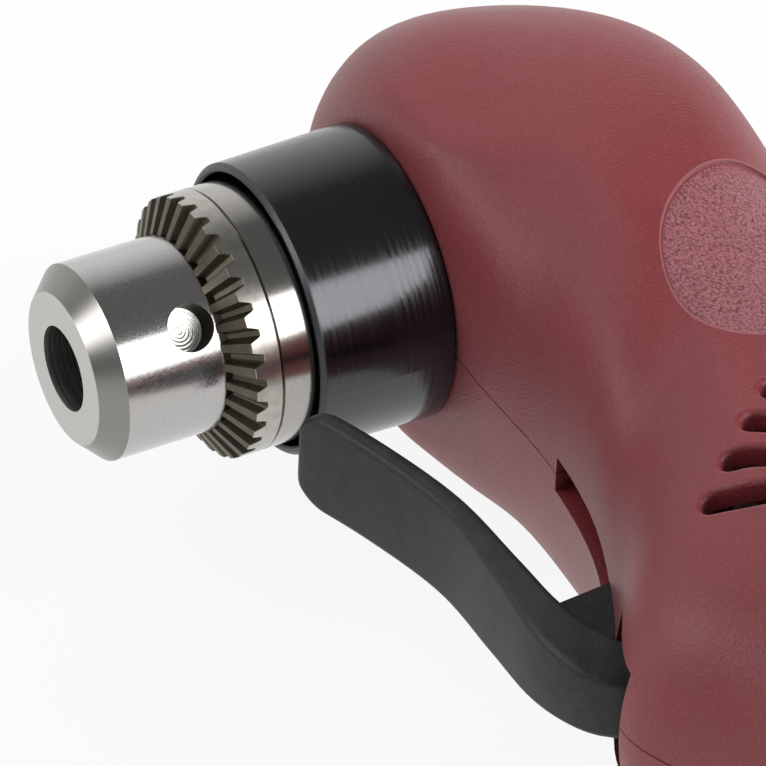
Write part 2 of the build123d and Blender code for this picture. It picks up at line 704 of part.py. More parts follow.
def rib_bores():
    """Seats cut in the cross walls."""
    switch = block(
        (ahead(SWITCH_FRONT - SWITCH_DEPTH) - RUNNING, ahead(SWITCH_FRONT) + WALL),
        (SWITCH_TOP - RUNNING, SWITCH_TOP + SWITCH_LENGTH + RUNNING),
        (-SWITCH_WIDTH / 2 - RUNNING, SWITCH_WIDTH / 2 + RUNNING),
    )
    bush_start = collar_back + shaft_back + pinion_pitch_r
    holder = holder_size / 2 + RUNNING
    holders = block(
        (ahead(-MOTOR_BACK) - holder, ahead(-MOTOR_BACK) + holder),
        (brush_middle - holder, brush_middle + holder),
        (-holder_start - HOLDER_LENGTH - RUNNING, holder_start + HOLDER_LENGTH + RUNNING),
    )
    return [
        ring(chuck_axis, bush_start - 1, SPINDLE_BUSH_W + 1, SPINDLE_BUSH_D + 2 * SEAT),
        ring(shaft_axis, SHAFT_BEARING_PLACE, SHAFT_BEARING_W, SHAFT_BEARING_D + 2 * SEAT),
        ring(shaft_axis, SHAFT_BUSH_PLACE, SHAFT_BUSH_W, SHAFT_BUSH_D + 2 * SEAT),
        ring(motor_axis, MOTOR_BEARING_PLACE, SHAFT_BEARING_W, SHAFT_BEARING_D + 2 * SEAT),
        ring(motor_axis, rear_bearing_place, REAR_BEARING_W, REAR_BEARING_D + 2 * SEAT),
        ring(motor_axis, stator_place, STATOR_LENGTH, STATOR_D + 2 * SEAT),
        switch, holders,
    ]


def vent_cuts():
    """Slanted slots with round ends, in both sides."""
    slant = radians(VENT_SLANT)
    slot = extrude(SlotOverall(VENT_LENGTH, VENT_HEIGHT), 60)
    cuts = []
    for i in range(VENT_COUNT):
        start = (VENT_FIRST[0] + i * VENT_STEP[0], VENT_FIRST[1] + i * VENT_STEP[1])
        middle = (start[0] - VENT_LENGTH / 2 * cos(slant), start[1] + VENT_LENGTH / 2 * sin(slant))
        place = Pos(ahead(middle[0]), middle[1], 0) * Rot(0, 0, -VENT_SLANT)
        cuts += [place * Pos(0, 0, VENT_FLOOR) * slot, place * Pos(0, 0, -VENT_FLOOR - 60) * slot]
    return cuts


def vented(outer):
    """The outer form with its slots, whose rims are rounded."""
    form = outer - vent_cuts()
    walls = [face for face in form.faces() if face.geom_type in (GeomType.PLANE, GeomType.CYLINDER)]
    rims = [edge for wall in walls for edge in wall.edges() if edge.geom_type == GeomType.BSPLINE]
    rims = [edge for edge in rims if abs(edge.center().Z) > VENT_FLOOR]
    return form.fillet(VENT_ROUND, rims)


def thumb_recesses():
    """Shallow oval recesses on both sides, this deep all over."""
    oval = extrude(Ellipse(*RECESS_HALF), 60, both=True)
    place = Pos(ahead(RECESS_CENTRE[0]), RECESS_CENTRE[1], 0) * Rot(0, 0, RECESS_TURN)
    return place * oval - body_loft(RECESS_DEPTH)


def make_housing():
    outer = vented(body_loft(0))
    bosses = [post(place, BOSS_D, (-60, 60)) for place in SCREW_PLACES]
    pin_bosses = []
    for side in (-1, 1):
        span = sorted((side * (LEVER_WIDTH / 2 + LOOSE), side * 60))
        pin_bosses.append(post(PIVOT, PIVOT_BOSS_D, span))
    cavity = body_loft(WALL) - rib_slabs() - bosses - pin_bosses
    shell = outer - cavity - rib_bores()
    spigot_d = SPINDLE_BEARING_D + 2 * SEAT + 2 * SPIGOT_WALL
    gland_start = handle_end - WALL - SEAT
    shell -= [
        ring(chuck_axis, collar_back - 1, WALL + 2, spigot_d + 2 * RUNNING),
        ring(motor_axis, gland_start - 1, WALL + 4, GLAND_D + 2 * RUNNING),
        block((ahead(-9), ahead(30)), (SLOT_TOP, OPENING_TOP + 2), (-SLOT_WIDTH / 2, SLOT_WIDTH / 2)),
        block(
            (ahead(-4), ahead(30)), (OPENING_TOP, OPENING_TOP + OPENING_LENGTH),
            (-LEVER_WIDTH / 2 - 0.6, LEVER_WIDTH / 2 + 0.6),
        ),
        post(PIVOT, PIVOT_BOSS_D + 2 * LOOSE, (-LEVER_WIDTH / 2 - LOOSE, LEVER_WIDTH / 2 + LOOSE)),
        post(PIVOT, PIN_D + 2 * RUNNING, (-PIN_LENGTH / 2 - RUNNING, PIN_LENGTH / 2 + RUNNING)),
    ]
    shell -= thumb_recesses()
    for place in SCREW_PLACES:
        shell -= post(place, SCREW_SHANK_D + 2 * SEAT, (-SCREW_REACH, SCREW_REACH + LOOSE))
        shell -= post(place, SCREW_CAP_D + 2 * LOOSE, (-60, -SCREW_REACH))
    return shell


def half_of(shell, side):
    """One moulding: the part of the shell on one side of the parting line."""
    span = sorted((side * PARTING_GAP / 2, side * 100))
    return shell & block((ahead(-100), ahead(60)), (-100, handle_end + 60), span)


def make_housing_screws():
    screws = []
    for place in SCREW_PLACES:
        screw = post(place, SCREW_SHANK_D, (-SCREW_REACH, SCREW_REACH))
        screw += post(place, SCREW_CAP_D, (-SCREW_REACH - SCREW_CAP_H, -SCREW_REACH))
        screws.append(screw)
    return screws


def make_trigger_lever():
    front = [(ahead(a), y) for a, y in LEVER_FRONT]
    back = [(ahead(a), y) for a, y in LEVER_BACK]
    pivot = (ahead(PIVOT[0]), PIVOT[1])
    boss_r = PIVOT_BOSS_D / 2
    root = [(pivot[0] + boss_r, pivot[1]), (pivot[0] - boss_r, pivot[1])]
    lines = [Spline(*front, root[0]), Line(root[0], root[1]), Spline(root[1], *reversed(back))]
    lines.append(Line(back[0], front[0]))
    half = LEVER_WIDTH / 2
    paddle = Pos(0, 0, -half) * extrude(make_face(lines), LEVER_WIDTH)
    tip = min(front[0][1], back[0][1]) - 1
    reach = pivot[1] + boss_r - tip
    plan = Plane((ahead(-20), tip, 0), x_dir=(0, 1, 0), z_dir=(1, 0, 0))
    shape = Pos(reach, 0, 0) * RectangleRounded(2 * reach, LEVER_WIDTH, LEVER_CORNER)
    paddle &= plan.location * extrude(shape, 100)
    paddle = fillet(paddle.edges().filter_by(GeomType.BSPLINE), LEVER_EDGE)
    tip_low = (WEB_TIP[0], WEB_TIP[1] + WEB_TIP_HEIGHT)
    middles = [((f[0] + b[0]) / 2, (f[1] + b[1]) / 2) for f, b in zip(LEVER_FRONT, LEVER_BACK)]
    upper, lower = middles[3:5]
    web_root = ((upper[0] + lower[0]) / 2, (upper[1] + lower[1]) / 2)
    web = [web_root, WEB_NECK, WEB_TIP, tip_low, (PIVOT[0] - boss_r, PIVOT[1]), PIVOT, lower]
    lever = paddle + prism([(ahead(a), y) for a, y in web], WEB_THICK / 2)
    lever += post(PIVOT, PIVOT_BOSS_D, (-half, half))
    return lever - post(PIVOT, PIN_D + 2 * RUNNING, (-half, half))


def make_trigger_switch():
    half = SWITCH_WIDTH / 2
    body = block(
        (ahead(SWITCH_FRONT - SWITCH_DEPTH), ahead(SWITCH_FRONT)),
        (SWITCH_TOP, SWITCH_TOP + SWITCH_LENGTH), (-half, half),
    )
    return body - plunger_rod(SWITCH_FRONT - PLUNGER_IN - 4, SWITCH_FRONT + 1, PLUNGER_D + 2 * RUNNING)


def plunger_rod(start, end, diameter):
    """A rod across the switch, level with the end of the lever's web."""
    y = WEB_TIP[1] + WEB_TIP_HEIGHT / 2
    frame = Plane((ahead(start), y, 0), x_dir=(0, 1, 0), z_dir=(1, 0, 0))
    return ring(frame, 0, end - start, diameter)


def make_switch_plunger():
    return plunger_rod(SWITCH_FRONT - PLUNGER_IN, WEB_TIP[0] - LOOSE, PLUNGER_D)


def make_cord_gland():
    start = handle_end - WALL
    bore = GLAND_BORE / 2
    end = handle_end + GLAND_PROUD
    return turned(motor_axis, [
        (start - 2.5, bore), (start - 2.5, GLAND_FLANGE_D / 2), (start - SEAT, GLAND_FLANGE_D / 2),
        (start - SEAT, GLAND_D / 2), (end - 1, GLAND_D / 2), (end, GLAND_D / 2 - 1), (end, bore),
    ])


housing = make_housing()
parts = {
    "left_housing": half_of(housing, 1),
    "right_housing": half_of(housing, -1),
    "housing_screws": make_housing_screws(),
    "nose_collar": make_nose_collar(),
    "spindle_bearing": bearing(
        chuck_axis, bearing_front, SPINDLE_BEARING_W, SPINDLE_BEARING_D, SPINDLE_D),
    "spindle_bush": ring(
        chuck_axis, collar_back + shaft_back + pinion_pitch_r, SPINDLE_BUSH_W,
        SPINDLE_BUSH_D, SPINDLE_END_D + 2 * RUNNING),
    "spindle": make_spindle(),
    "bevel_gear": make_bevel_gear(),
    "chuck_body": make_chuck_body(),
    "chuck_sleeve": make_chuck_sleeve(),
    "chuck_nut": make_chuck_nut(),
    "chuck_screw": make_chuck_screw(),
    "intermediate_shaft": make_intermediate_shaft(),
    "reduction_gear": make_reduction_gear(),
    "intermediate_bearing": bearing(
        shaft_axis, SHAFT_BEARING_PLACE, SHAFT_BEARING_W, SHAFT_BEARING_D, SHAFT_D),
    "intermediate_bush": ring(
        shaft_axis, SHAFT_BUSH_PLACE, SHAFT_BUSH_W, SHAFT_BUSH_D, SHAFT_D + 2 * RUNNING),
    "armature_shaft": make_armature_shaft(),
    "armature_core": make_armature_core(),
    "armature_winding": make_armature_winding(),
    "commutator": make_commutator(),
    "cooling_fan": make_cooling_fan(),
    "motor_bearing_front": bearing(
        motor_axis, MOTOR_BEARING_PLACE, SHAFT_BEARING_W, SHAFT_BEARING_D, SHAFT_D),
    "motor_bearing_rear": bearing(
        motor_axis, rear_bearing_place, REAR_BEARING_W, REAR_BEARING_D, REAR_SHAFT_D),
    "field_stator": make_field_stator(),
    "field_coils": make_field_coils(),
    "brush_holders": make_brush_holders(),
    "carbon_brushes": make_carbon_brushes(),
    "trigger_lever": make_trigger_lever(),
    "lever_pin": post(PIVOT, PIN_D, (-PIN_LENGTH / 2, PIN_LENGTH / 2)),
    "trigger_switch": make_trigger_switch(),
    "switch_plunger": make_switch_plunger(),
    "cord_gland": make_cord_gland(),
}
for number, angle in enumerate(jaw_angles(), 1):
    parts[f"chuck_jaw_{number}"] = make_jaw(angle)

os.makedirs("parts", exist_ok=True)
for name, shape in parts.items():
    solids = shape if isinstance(shape, list) else [shape]
    group = Compound(children=[solid for item in solids for solid in item.solids()])
    export_step(group, f"parts/{name}.step")
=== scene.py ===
# %% [markdown]
# A right angle drill lies on its right side, with its chuck towards the camera. The shapes come
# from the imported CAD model, which is loaded here as a fixed frame, in metres. Everything that is
# added later rides on one of its bodies, so that it moves when the drill moves.

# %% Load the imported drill
import json
from functools import partial
import bmesh
import bpy
import numpy as np
from mathutils import Matrix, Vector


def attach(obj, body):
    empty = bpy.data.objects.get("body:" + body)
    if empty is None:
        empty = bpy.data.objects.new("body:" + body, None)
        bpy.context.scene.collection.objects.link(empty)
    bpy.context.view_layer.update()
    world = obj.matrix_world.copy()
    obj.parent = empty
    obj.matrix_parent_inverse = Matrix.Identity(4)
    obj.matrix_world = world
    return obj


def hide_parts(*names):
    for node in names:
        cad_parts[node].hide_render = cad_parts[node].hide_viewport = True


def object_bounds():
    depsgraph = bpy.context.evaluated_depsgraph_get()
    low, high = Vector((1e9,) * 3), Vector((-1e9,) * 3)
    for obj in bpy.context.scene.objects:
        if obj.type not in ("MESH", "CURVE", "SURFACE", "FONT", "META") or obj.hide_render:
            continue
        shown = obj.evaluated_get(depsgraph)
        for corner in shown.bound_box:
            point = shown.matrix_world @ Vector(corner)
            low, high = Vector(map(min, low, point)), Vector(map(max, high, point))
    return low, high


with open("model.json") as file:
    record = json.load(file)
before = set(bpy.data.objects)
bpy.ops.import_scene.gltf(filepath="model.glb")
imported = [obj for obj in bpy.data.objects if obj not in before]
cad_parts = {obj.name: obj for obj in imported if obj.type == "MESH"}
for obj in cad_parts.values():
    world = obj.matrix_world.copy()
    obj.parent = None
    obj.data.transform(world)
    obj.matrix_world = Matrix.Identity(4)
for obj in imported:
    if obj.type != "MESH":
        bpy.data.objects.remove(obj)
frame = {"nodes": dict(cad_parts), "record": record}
cad_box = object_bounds()
scene = bpy.context.scene
MM = 0.001

# %% [markdown]
# The camera stands where it stood for the photograph: about a metre away, above the front left of
# the tool. Its place and turn were found by matching the edges of the turned chuck, whose circles
# show as ellipses. A long lens keeps the perspective slight.

# %% Camera at the photograph's angle
CAMERA_PLACE = (334.80, 669.66, 636.77)
CAMERA_RIGHT = (-0.88274, 0.46837, 0.03725)
CAMERA_UP = (-0.27904, -0.58639, 0.76045)
CAMERA_BACK = (0.37802, 0.66089, 0.64832)
FOCAL_LENGTH = 352.5
SENSOR_WIDTH = 36.0
FARTHEST_SEEN = 20.0
lens = bpy.data.cameras.new("camera")
lens.lens = FOCAL_LENGTH
lens.sensor_width = SENSOR_WIDTH
lens.clip_end = FARTHEST_SEEN
camera = bpy.data.objects.new("camera", lens)
scene.collection.objects.link(camera)
camera_turn = Matrix((CAMERA_RIGHT, CAMERA_UP, CAMERA_BACK)).transposed().to_4x4()
camera.matrix_world = Matrix.Translation([v * MM for v in CAMERA_PLACE]) @ camera_turn
scene.camera = camera
print("camera", [round(v, 3) for v in camera.location])

# %% [markdown]
# Materials are node trees, and one small function adds a node. A socket takes a number, a colour
# or another node, which stands for its first output in use. Keywords set the node's own options.
# Colours are written as sRGB hex, as a paint chart gives them, and turned to linear light, which
# the shader works in.

# %% One function that adds a node


def linear(code):
    """sRGB hex to linear RGBA: the standard curve, straight near black and a power above it."""
    srgb = np.array([int(code[i:i + 2], 16) for i in (1, 3, 5)]) / 255
    light = np.where(srgb <= 0.04045, srgb / 12.92, ((srgb + 0.055) / 1.055) ** 2.4)
    return (*light.tolist(), 1.0)


def put(tree, kind, sockets=None, **options):
    """Adds one shader node with its options, socket values and links."""
    node = tree.nodes.new("ShaderNode" + kind)
    for name, value in options.items():
        setattr(node, name, value)
    for name, value in (sockets or {}).items():
        if isinstance(value, bpy.types.Node):
            value = next(output for output in value.outputs if output.enabled)
        if isinstance(value, bpy.types.NodeSocket):
            tree.links.new(value, node.inputs[name])
        else:
            node.inputs[name].default_value = linear(value) if isinstance(value, str) else value
    return node


def start(name):
    """A new material, a function that adds nodes to its tree, and its object coordinates."""
    material = bpy.data.materials.new(name)
    material.use_nodes = True
    material.node_tree.nodes.clear()
    add = partial(put, material.node_tree)
    return material, add, add("TexCoord").outputs["Object"]


print("mid grey in linear light", round(linear("#808080")[0], 3))

# %% [markdown]
# Patterns and borders are given in real millimetres, and small helpers turn those into socket
# values. A Mix node's sockets go by number, so they get names: the share, two numbers, two colours.

# %% Socket values from millimetres
SHARE = 0
NUMBER_A, NUMBER_B = 2, 3
COLOUR_A, COLOUR_B = 6, 7


def per_mm(size):
    """Texture scale that gives features of this size in millimetres."""
    return 1.0 / (size * MM)


def grain_of(place, size_mm):
    """A noise's sockets, for a grain of this size with some finer grain in it."""
    return {"Vector": place, "Scale": per_mm(size_mm), "Detail": 3.0}


def span(ends, unit=1.0, to=(0.0, 1.0)):
    """A Map Range's sockets: the way between two ends is carried to the way between two others."""
    first, last = ends
    return {"From Min": first * unit, "From Max": last * unit, "To Min": to[0], "To Max": to[1]}


print("scale of a 1 mm grain", per_mm(1.0))

# %% [markdown]
# The housing is moulded ABS in a dusky red. The mould was spark eroded, which leaves a fine even
# grain: each tiny facet catches the light for itself, so highlights break up into a pinkish haze.
# Pale specks on the grain's peaks are painted highlights of those facets. The real grain is too
# fine to show, so it is drawn coarser, at 0.4 mm. A little sheen stands for its pale edges, which
# show where the surface turns away. The oval thumb recess has a leathery, paler grain, with
# painted shade in its furrows and painted light on its hills. A pale line round its edge is a
# painted highlight on its lip. A Mapping node turns the oval into a unit circle, so one length
# tells inside from outside. Beside the parting line the red is darker, as painted shade of the
# gap. The faces in the gap are a clearer red, painted light, since light hardly reaches them, and
# the narrow gap then shows as dark red and not as black.

# %% Reach from the thumb recess
THUMB_CENTRE = (-79.2, 44.5)
THUMB_HALF = (18.7, 13.9)
THUMB_TURN = 44.0


def thumb_reach(add, place):
    """Distance from the thumb oval's centre, as a share of the way to its edge."""
    oval = add("Mapping", {
        "Vector": place, "Location": (THUMB_CENTRE[0] * MM, THUMB_CENTRE[1] * MM, 0),
        "Rotation": (0, 0, np.radians(THUMB_TURN)),
        "Scale": (THUMB_HALF[0] * MM, THUMB_HALF[1] * MM, 1.0)}, vector_type="TEXTURE")
    flat = add("VectorMath", {0: oval, 1: (1, 1, 0)}, operation="MULTIPLY")
    return add("VectorMath", {0: flat}, operation="LENGTH")


print("thumb recess", [2 * half for half in THUMB_HALF], "mm")

# %% Moulded red ABS
SPARK_GRAIN = 0.4
LEATHER_GRAIN = 0.36
GRAIN_DEPTH = 0.16
CLOUD = 14.0
SEAM_SHADE_HALF = 0.2
PARTING_HALF = 0.1
# Painted shade beside the parting line, and painted light on the faces in the gap.
# Distances from the parting plane, in mm, at which each begins and is whole.
SEAM_SHADE_EDGE = (SEAM_SHADE_HALF + 0.03, SEAM_SHADE_HALF)
GAP_LIGHT_EDGE = (PARTING_HALF + 0.02, PARTING_HALF + 0.005)
OFF_SEAM = (0.0, 1.0)
# Shares of the way to the edge of the thumb recess.
RECESS_EDGE = (0.995, 0.97)
# The pale line just outside that edge is a painted highlight on the recess's lip.
RIM_REACH = 1.005
RIM_HIGHLIGHT_FADE = (0.014, 0.004)


def abs_tone(add, cloud, fine, leather, inside):
    """Cloudy red, pale specks of painted highlight; painted shade and light on the recess's grain."""
    red = add("Mix", {SHARE: cloud, COLOUR_A: "#762026", COLOUR_B: "#862930"}, data_type="RGBA")
    # Painted highlights: pale specks on the peaks of the spark grain.
    painted_glints = add("MapRange", {"Value": fine, **span((0.45, 0.75), to=(0.0, 0.22))})
    plain = add("Mix", {SHARE: painted_glints, COLOUR_A: red, COLOUR_B: "#A8595D"}, data_type="RGBA")
    # Inside the recess: a paler tone, with painted shade in the furrows and painted light on the hills.
    recess_tone_and_shade = add("Mix", {SHARE: leather, COLOUR_A: "#66282E", COLOUR_B: "#AE6C73"}, data_type="RGBA")
    return add("Mix", {SHARE: inside, COLOUR_A: plain, COLOUR_B: recess_tone_and_shade}, data_type="RGBA")


def moulded_abs():
    """Grain and tone of both surfaces; painted highlight at the recess rim, shade and light at the seam.
    """
    material, add, place = start("ABS_spark_grained_red")
    height = add("SeparateXYZ", {"Vector": place}).outputs["Z"]
    aside = add("Math", {0: height}, operation="ABSOLUTE")
    seam_shade = add("MapRange", {"Value": aside, **span(SEAM_SHADE_EDGE, MM)})
    gap_light = add("MapRange", {"Value": aside, **span(GAP_LIGHT_EDGE, MM)})
    off_seam = add("MapRange", {"Value": aside, **span(OFF_SEAM, MM)})
    reach = thumb_reach(add, place)
    recess = add("MapRange", {"Value": reach, **span(RECESS_EDGE)})
    inside = add("Math", {0: off_seam, 1: recess}, operation="MULTIPLY")
    fine = add("TexNoise", grain_of(place, SPARK_GRAIN))
    cells = add("TexVoronoi", {"Vector": place, "Scale": per_mm(LEATHER_GRAIN)}, feature="SMOOTH_F1")
    leather = add("MapRange", {"Value": cells, **span((0.1, 0.75), to=(1.0, 0.0))})
    grain = add("Mix", {SHARE: inside, NUMBER_A: fine, NUMBER_B: leather})
    strength = add("Mix", {SHARE: inside, NUMBER_A: 0.75, NUMBER_B: 1.0})
    bump = add("Bump", {"Height": grain, "Strength": strength, "Distance": GRAIN_DEPTH * MM})
    cloud = add("TexNoise", grain_of(place, CLOUD))
    tone = abs_tone(add, cloud, fine, leather, inside)
    past_rim = add("Math", {0: reach, 1: RIM_REACH}, operation="SUBTRACT")
    from_rim = add("Math", {0: past_rim}, operation="ABSOLUTE")
    # Painted highlight along the recess's lip.
    rim_highlight_line = add("MapRange", {"Value": from_rim, **span(RIM_HIGHLIGHT_FADE, to=(0.0, 0.5))})
    rim_highlight = add("Math", {0: off_seam, 1: rim_highlight_line}, operation="MULTIPLY")
    tone = add("Mix", {SHARE: rim_highlight, COLOUR_A: tone, COLOUR_B: "#B27C7E"}, data_type="RGBA")
    # Painted shade beside the parting line.
    tone = add("Mix", {SHARE: seam_shade, COLOUR_A: tone, COLOUR_B: "#5E141A"}, data_type="RGBA")
    # Painted light on the faces in the gap.
    tone = add("Mix", {SHARE: gap_light, COLOUR_A: tone, COLOUR_B: "#A42A32"}, data_type="RGBA")
    rough = add("MapRange", {"Value": cloud, **span((0.3, 0.7), to=(0.44, 0.54))})
    shader = add("BsdfPrincipled", {
        "Base Color": tone, "Roughness": rough, "IOR": 1.5,
        "Sheen Weight": 0.2, "Sheen Roughness": 0.4, "Normal": bump})
    add("OutputMaterial", {"Surface": shader})
    return material


abs_red = moulded_abs()
print(abs_red.name, len(abs_red.node_tree.nodes), "nodes")

# %% [markdown]
# The chuck is turned steel. A lathe leaves fine rings round the axis: on a cylinder they follow
# each other along X, and on a flat face along the radius, so the pattern reads X less the radius.
# The real rings are finer than the render can show, so they are drawn about 0.3 mm apart. The
# three pilot holes are told from the rest by place alone, and are one: the angle round the axis is
# folded into a third of a turn.

# %% Places on the chuck
PILOTS = 3
PILOT_PLACE = -13.6
PILOT_RADIUS = 3.2
PILOT_TURN = 44.5


def round_axis(add, place):
    """X, and the distance from the X axis, of a place."""
    along = add("SeparateXYZ", {"Vector": place}).outputs["X"]
    across = add("VectorMath", {0: place, 1: (0, 1, 1)}, operation="MULTIPLY")
    return along, add("VectorMath", {0: across}, operation="LENGTH")


def turning_lines(add, along, radius, line_mm):
    """Noise in one dimension: its place is X less the distance from the X axis."""
    place = add("Math", {0: along, 1: radius}, operation="SUBTRACT")
    sockets = {"W": place, "Scale": per_mm(line_mm), "Detail": 5.0}
    return add("TexNoise", sockets, noise_dimensions="1D")


def from_pilot(add, place, along, radius):
    """Distance from the axis of the nearest pilot hole, with the angle folded to one hole's share."""
    axes = add("SeparateXYZ", {"Vector": place}).outputs
    angle = add("Math", {0: axes["Z"], 1: axes["Y"]}, operation="ARCTAN2")
    turned = add("Math", {0: angle, 1: np.radians(PILOT_TURN)}, operation="SUBTRACT")
    fold = add("Math", {0: turned, 1: np.pi / PILOTS, 2: -np.pi / PILOTS}, operation="WRAP")
    sine = add("Math", {0: fold}, operation="SINE")
    sideways = add("Math", {0: radius, 1: sine}, operation="MULTIPLY")
    behind = add("Math", {0: along, 1: PILOT_PLACE * MM}, operation="SUBTRACT")
    spot = add("CombineXYZ", {"X": sideways, "Y": behind})
    return add("VectorMath", {0: spot}, operation="LENGTH")


print("pilot holes", PILOTS, "of radius", PILOT_RADIUS, "mm at X", PILOT_PLACE, "mm")

# %% [markdown]
# The nose has several finishes: a matte front with a darker, smoother chamfer round it, a ground
# barrel with a fine speckle and a scraped bore. The pilot holes' walls are darkened as painted
# shade, the bore's mouth is brightened as a painted highlight of its lip, and the barrel behind the
# teeth's front is darkened as painted shade. Ground steel mirrors the softbox as a crisp band, and
# the front spreads it.

# %% Chuck nose
NOSE_LINE = 0.3
NOSE_GRAIN = 0.25
LINE_DEPTH = 0.05
CHAMFER_BACK = -3.0
FACE_RADIUS = 10.5
BORE_RADIUS = 5.9
TEETH_FRONT = -16.9
# In mm, where each finish begins and where it is whole: along X, from the axis or from a pilot.
CHAMFER_EDGE = (CHAMFER_BACK - 0.05, CHAMFER_BACK + 0.05)
FACE_EDGE = (FACE_RADIUS + 0.05, FACE_RADIUS - 0.05)
BORE_EDGE = (BORE_RADIUS + 0.1, BORE_RADIUS + 0.05)
# The bore's mouth takes a painted highlight.
MOUTH_HIGHLIGHT_EDGE = (-0.5, -0.3)
PILOT_EDGE = (PILOT_RADIUS + 0.06, PILOT_RADIUS + 0.02)
# Behind the teeth's front the barrel takes painted shade, seen through the tooth gaps.
BEHIND_TEETH_EDGE = (TEETH_FRONT + 0.1, TEETH_FRONT - 0.2)


def nose_tone(add, grain, front, face, pilot, scraped, mouth_highlight, bore, behind_teeth):
    """The barrel's grey, then the other finishes, painted shades and painted highlight laid over it."""
    barrel = add("Mix", {SHARE: grain, COLOUR_A: "#A8A6A4", COLOUR_B: "#C8C6C4"}, data_type="RGBA")
    nose = add("Mix", {SHARE: face, COLOUR_A: "#8C8A86", COLOUR_B: "#C0BEBA"}, data_type="RGBA")
    tone = add("Mix", {SHARE: front, COLOUR_A: barrel, COLOUR_B: nose}, data_type="RGBA")
    # Painted shade on the pilot holes' walls.
    tone = add("Mix", {SHARE: pilot, COLOUR_A: tone, COLOUR_B: "#3A362F"}, data_type="RGBA")
    wall = add("Mix", {SHARE: scraped, COLOUR_A: "#7C7A76", COLOUR_B: "#A6A4A0"}, data_type="RGBA")
    # Painted highlight on the bore's mouth.
    wall = add("Mix", {SHARE: mouth_highlight, COLOUR_A: wall, COLOUR_B: "#CCCAC6"}, data_type="RGBA")
    tone = add("Mix", {SHARE: bore, COLOUR_A: tone, COLOUR_B: wall}, data_type="RGBA")
    # Painted shade on the barrel behind the teeth's front.
    return add("Mix", {SHARE: behind_teeth, COLOUR_A: tone, COLOUR_B: "#2A2620"}, data_type="RGBA")


def nose_roughness(add, grain, front, face, pilot, scraped, bore, behind_teeth):
    """Smooth on the ground barrel, rougher on the front, in the bore, in the pilot holes and behind the
    teeth.
    """
    barrel = add("MapRange", {"Value": grain, **span((0.3, 0.7), to=(0.13, 0.23))})
    nose = add("Mix", {SHARE: face, NUMBER_A: 0.3, NUMBER_B: 0.38})
    rough = add("Mix", {SHARE: front, NUMBER_A: barrel, NUMBER_B: nose})
    painted_shade_zones = add("Math", {0: pilot, 1: behind_teeth}, operation="MAXIMUM")
    rough = add("Mix", {SHARE: painted_shade_zones, NUMBER_A: rough, NUMBER_B: 0.45})
    wall = add("Mix", {SHARE: scraped, NUMBER_A: 0.36, NUMBER_B: 0.46})
    return add("Mix", {SHARE: bore, NUMBER_A: rough, NUMBER_B: wall})


def chuck_nose():
    """Masks by place, and from them the tone, the roughness and a faint relief of lines and grain."""
    material, add, place = start("Steel_turned_and_ground")
    along, radius = round_axis(add, place)
    lines = turning_lines(add, along, radius, NOSE_LINE)
    grain = add("TexNoise", grain_of(place, NOSE_GRAIN))
    pilot_way = from_pilot(add, place, along, radius)
    pilot = add("MapRange", {"Value": pilot_way, **span(PILOT_EDGE, MM)})
    front = add("MapRange", {"Value": along, **span(CHAMFER_EDGE, MM)})
    face = add("MapRange", {"Value": radius, **span(FACE_EDGE, MM)})
    bore = add("MapRange", {"Value": radius, **span(BORE_EDGE, MM)})
    mouth_highlight = add("MapRange", {"Value": along, **span(MOUTH_HIGHLIGHT_EDGE, MM)})
    behind_teeth = add("MapRange", {"Value": along, **span(BEHIND_TEETH_EDGE, MM)})
    scraped = add("MapRange", {"Value": lines, **span((0.42, 0.6))})
    tone = nose_tone(add, grain, front, face, pilot, scraped, mouth_highlight, bore, behind_teeth)
    rough = nose_roughness(add, grain, front, face, pilot, scraped, bore, behind_teeth)
    height = add("Mix", {SHARE: 0.75, NUMBER_A: lines, NUMBER_B: grain})
    bump = add("Bump", {"Height": height, "Strength": 0.05, "Distance": LINE_DEPTH * MM})
    shader = add("BsdfPrincipled", {
        "Base Color": tone, "Metallic": 1.0, "Roughness": rough, "Normal": bump})
    add("OutputMaterial", {"Surface": shader})
    return material


nose_steel = chuck_nose()
print(nose_steel.name, len(nose_steel.node_tree.nodes), "nodes")

# %% [markdown]
# The sleeve has two finishes. Its toothed ring is hardened, with a dull, stained crest, and the
# teeth cut into its front are a darker brown. Behind the ring's thin groove it is polished.
# X and the radius alone tell these apart, so no map has to be painted.

# %% Toothed sleeve
SLEEVE_LINE = 0.35
SLEEVE_GRAIN = 0.3
STAIN = 1.6
RING_BACK = -23.1
SLEEVE_RADIUS = 18.0
# In mm along X and from the axis, where each begins and where it is whole.
RING_EDGE = (RING_BACK - 0.05, RING_BACK + 0.05)
CREST_EDGE = (SLEEVE_RADIUS - 0.12, SLEEVE_RADIUS - 0.04)


